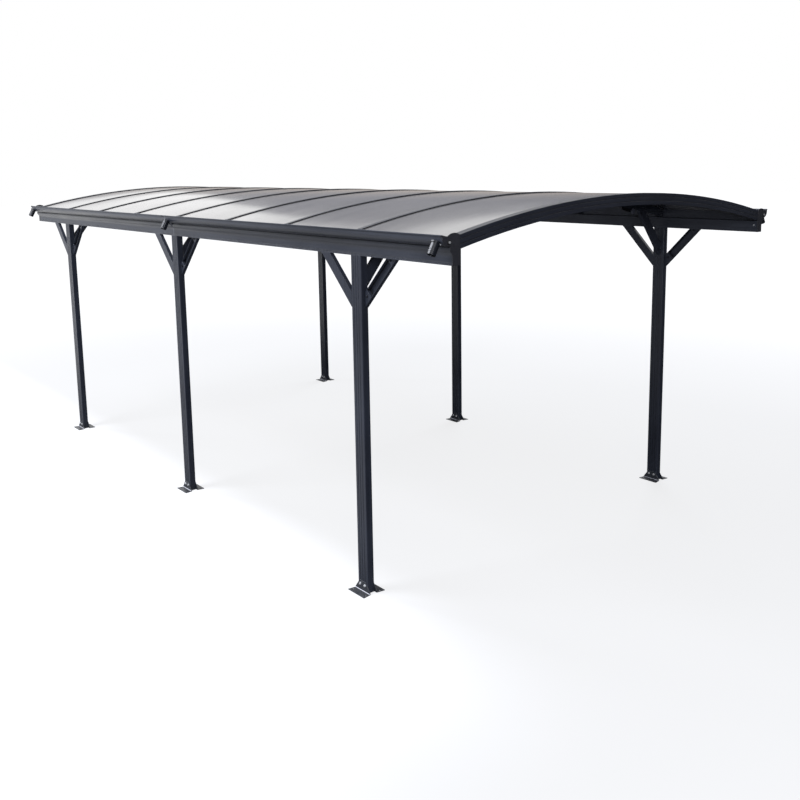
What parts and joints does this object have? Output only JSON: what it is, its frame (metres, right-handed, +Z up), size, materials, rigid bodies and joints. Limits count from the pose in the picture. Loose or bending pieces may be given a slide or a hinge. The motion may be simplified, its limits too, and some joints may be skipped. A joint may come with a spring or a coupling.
{
  "type": "carport",
  "caption": "Freestanding open carport with a shallow arched roof of smoked sheets between aluminium arches, carried by gutter beams on braced posts with bolted feet",
  "frame": {"origin": "on the ground under the middle of the roof, at the bottom centre of the bounding box", "axes": "+Z up, +Y along the length towards the rear end, +X across to the right; the front end is at -Y"},
  "size_m": [2.9512, 5.746, 2.1538],
  "materials": {
    "frame": "satin dark grey powder coat on extruded aluminium",
    "foot": "satin dark grey powder coat on folded steel",
    "end_cap": "moulded dark grey",
    "spout": "moulded dark grey",
    "roof_sheet": "smoked clear polycarbonate"
  },
  "bodies": {
    "root": {"beam_end_caps": "end_cap", "beam_splices": "frame", "front_arch": "frame", "front_left_braces": "frame", "front_left_foot": "foot", "front_left_post": "frame", "front_right_braces": "frame", "front_right_foot": "foot", "front_right_post": "frame", "gutter_spouts": "spout", "inner_arch_1": "frame", "inner_arch_2": "frame", "inner_arch_3": "frame", "inner_arch_4": "frame", "inner_arch_5": "frame", "inner_arch_6": "frame", "inner_arch_7": "frame", "left_beam_front": "frame", "left_beam_rear": "frame", "middle_left_braces": "frame", "middle_left_foot": "foot", "middle_left_post": "frame", "middle_right_braces": "frame", "middle_right_foot": "foot", "middle_right_post": "frame", "rear_arch": "frame", "rear_left_braces": "frame", "rear_left_foot": "foot", "rear_left_post": "frame", "rear_right_braces": "frame", "rear_right_foot": "foot", "rear_right_post": "frame", "right_beam_front": "frame", "right_beam_rear": "frame", "roof_sheet_1": "roof_sheet", "roof_sheet_2": "roof_sheet", "roof_sheet_3": "roof_sheet", "roof_sheet_4": "roof_sheet", "roof_sheet_5": "roof_sheet", "roof_sheet_6": "roof_sheet", "roof_sheet_7": "roof_sheet", "roof_sheet_8": "roof_sheet"}
  },
  "joints": []
}
